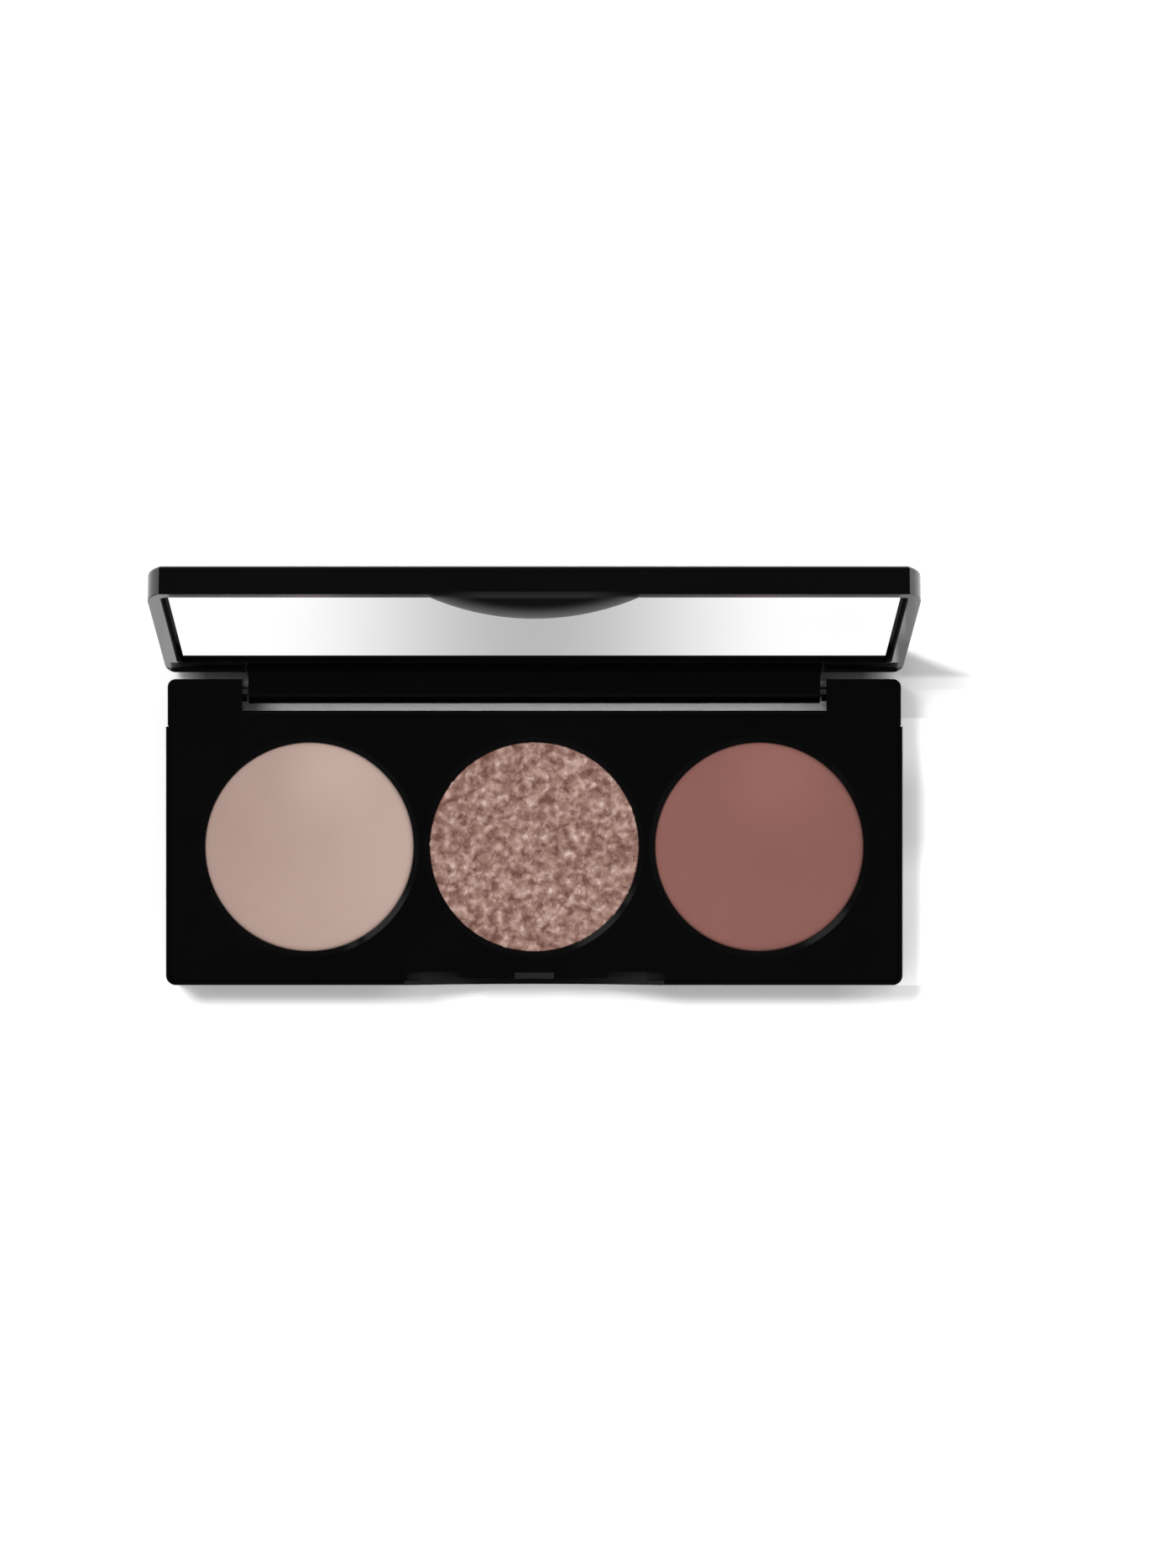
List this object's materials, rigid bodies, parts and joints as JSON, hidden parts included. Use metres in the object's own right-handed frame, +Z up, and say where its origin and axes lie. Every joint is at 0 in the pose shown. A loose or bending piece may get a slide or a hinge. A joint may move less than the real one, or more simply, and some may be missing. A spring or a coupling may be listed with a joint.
{
  "type": "eyeshadow palette",
  "caption": "Slim oblong hinged compact with round pressed-powder pans set in a bevelled deck, a mirrored lid on a rear barrel hinge and an arched snap lip over a finger notch.",
  "frame": {"origin": "centre of the base's flat underside", "axes": "+Z up, +X along the row of pans to the user's right, -Y towards the user; the hinge is at the rear (+Y). The row is stored with the lid open, as pictured"},
  "size_m": [0.0904, 0.05, 0.0392],
  "materials": {
    "black_plastic": "smooth moulded gloss black",
    "pan_metal": "bare pressed sheet",
    "powder_light": "matte pressed powder, pale rose beige",
    "powder_glitter": "pressed shimmer powder, warm rose brown with pale and dark flecks",
    "powder_dark": "matte pressed powder, dusty rose brown",
    "adhesive": "translucent white adhesive film",
    "mirror": "silvered flat glass",
    "pin_steel": "drawn wire"
  },
  "bodies": {
    "base": {"base_shell": "black_plastic", "pan_tray": "black_plastic", "pan_left": "pan_metal", "pan_center": "pan_metal", "pan_right": "pan_metal", "powder_left": "powder_light", "powder_center": "powder_glitter", "powder_right": "powder_dark", "pan_glue_left": "adhesive", "pan_glue_center": "adhesive", "pan_glue_right": "adhesive", "hinge_pin_left": "pin_steel", "hinge_pin_right": "pin_steel"},
    "lid": {"lid_shell": "black_plastic", "mirror_glass": "mirror", "mirror_tape": "adhesive"}
  },
  "joints": [
    {"name": "lid_hinge", "type": "hinge", "parent": "base", "child": "lid", "pos_m": [0, 0.0172, 0.0044], "axis": [1, 0, 0], "range_deg": [0, 103]}
  ]
}
